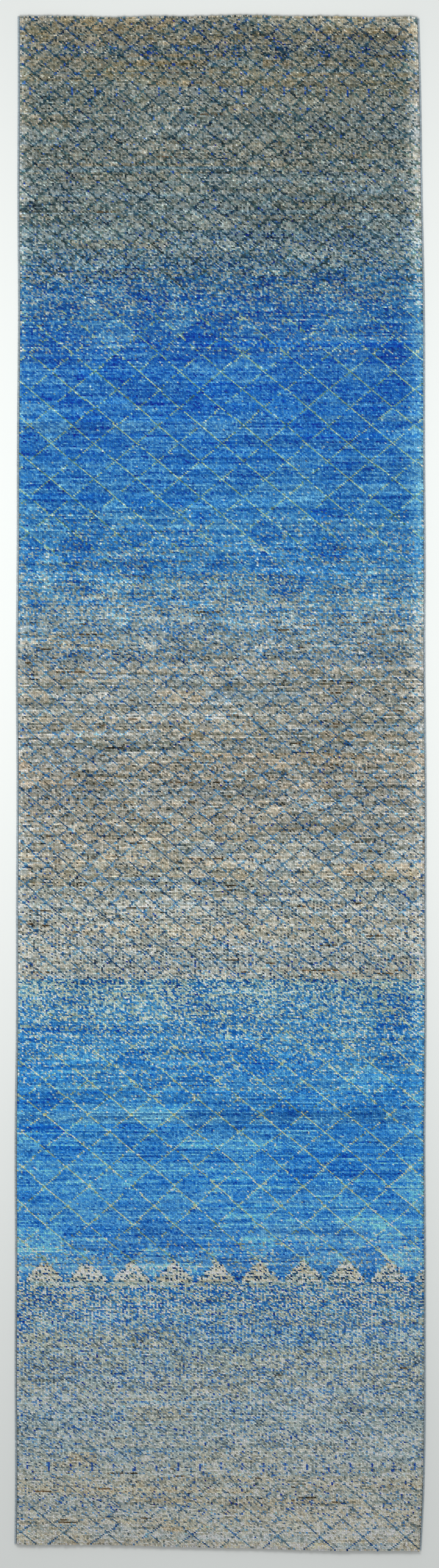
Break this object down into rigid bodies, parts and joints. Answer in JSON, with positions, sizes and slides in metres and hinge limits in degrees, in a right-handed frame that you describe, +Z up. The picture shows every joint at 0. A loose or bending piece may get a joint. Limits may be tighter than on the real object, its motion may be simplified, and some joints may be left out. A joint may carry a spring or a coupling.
{
  "type": "runner rug",
  "caption": "Long hand-knotted wool runner rug, lying flat, in blue and taupe pile with fine diamond lattices, overcast side edges and ends folded under.",
  "frame": {"origin": "on the floor, under the centre of the rug's outline", "axes": "+X across the width, +Y along the length towards the far end, +Z up from the floor through the pile"},
  "size_m": [0.8, 3, 0.0123],
  "materials": {
    "pile_taupe": "matte",
    "pile_grey_teal": "matte",
    "pile_blue": "matte",
    "pile_blue_speckle": "matte",
    "pile_grey_beige": "matte",
    "pile_beige": "matte",
    "knot_back_wool": "matte",
    "warp_cotton": "matte",
    "weft_wool": "matte",
    "selvage_core_cotton": "matte",
    "selvage_wool": "matte",
    "twining_cotton": "matte",
    "hem_weave": "matte",
    "hem_thread": "matte"
  },
  "bodies": {
    "root": {"pile_far_border": "pile_taupe", "pile_grey_teal": "pile_grey_teal", "pile_far_blue": "pile_blue", "pile_blue_speckle": "pile_blue_speckle", "pile_taupe_lattice": "pile_taupe", "pile_taupe_dotted": "pile_taupe", "pile_speckle_band": "pile_blue_speckle", "pile_near_blue": "pile_blue", "pile_triangle_row": "pile_grey_beige", "pile_near_field": "pile_grey_beige", "pile_near_border": "pile_beige", "knot_loops": "knot_back_wool", "warps_lower": "warp_cotton", "wefts_cable": "weft_wool", "warps_upper": "warp_cotton", "wefts_thin": "weft_wool", "selvage_core_left": "selvage_core_cotton", "selvage_core_right": "selvage_core_cotton", "selvage_overcast_left": "selvage_wool", "selvage_overcast_right": "selvage_wool", "twining_far": "twining_cotton", "twining_near": "twining_cotton", "hem_far": "hem_weave", "hem_near": "hem_weave", "hem_stitches_far": "hem_thread", "hem_stitches_near": "hem_thread"}
  },
  "joints": []
}
